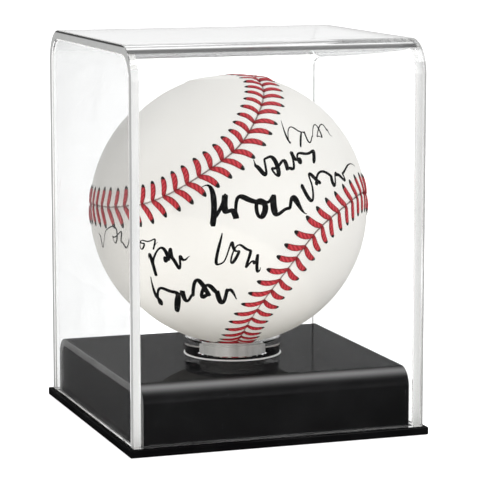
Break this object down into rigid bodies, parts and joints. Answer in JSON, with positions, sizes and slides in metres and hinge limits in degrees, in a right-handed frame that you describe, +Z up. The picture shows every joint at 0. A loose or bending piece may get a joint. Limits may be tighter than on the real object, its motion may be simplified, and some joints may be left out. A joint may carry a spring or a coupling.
{
  "type": "baseball display case",
  "caption": "Clear square cover that lifts off a glossy black riser and base plate, with a clear seat ring holding one stitched leather ball.",
  "frame": {"origin": "middle of the base plate's underside", "axes": "+Z up, -Y towards the front, which is one of the two sides the sheets are bent over, +X to the right seen from the front"},
  "size_m": [0.0824, 0.0824, 0.1045],
  "materials": {
    "black_acrylic": "gloss",
    "clear_acrylic": "clear polished",
    "ball_leather": "satin",
    "black_ink": "satin",
    "red_thread": "matte",
    "white_cotton": "matte",
    "grey_wool": "matte",
    "white_wool": "matte",
    "red_rubber": "matte",
    "black_rubber": "matte",
    "cork": "matte"
  },
  "bodies": {
    "base": {"base_plate": "black_acrylic", "riser_wrap": "black_acrylic", "riser_left_panel": "black_acrylic", "riser_right_panel": "black_acrylic", "ball_seat_ring": "clear_acrylic"},
    "cover": {"cover_wrap": "clear_acrylic", "cover_left_panel": "clear_acrylic", "cover_right_panel": "clear_acrylic"},
    "ball": {"ball_leather_a": "ball_leather", "ball_leather_b": "ball_leather", "ball_stitches": "red_thread", "ball_cotton_winding": "white_cotton", "ball_outer_wool_winding": "grey_wool", "ball_middle_wool_winding": "white_wool", "ball_inner_wool_winding": "grey_wool", "ball_red_rubber": "red_rubber", "ball_black_rubber": "black_rubber", "ball_cork_core": "cork"}
  },
  "joints": [
    {"name": "cover_lift", "type": "slide", "parent": "base", "child": "cover", "axis": [0, 0, 1], "range_m": [0, 0.12]},
    {"name": "ball_turn", "type": "hinge", "parent": "base", "child": "ball", "pos_m": [0, 0, 0.05705], "axis": [0, 0, 1], "continuous": true}
  ]
}
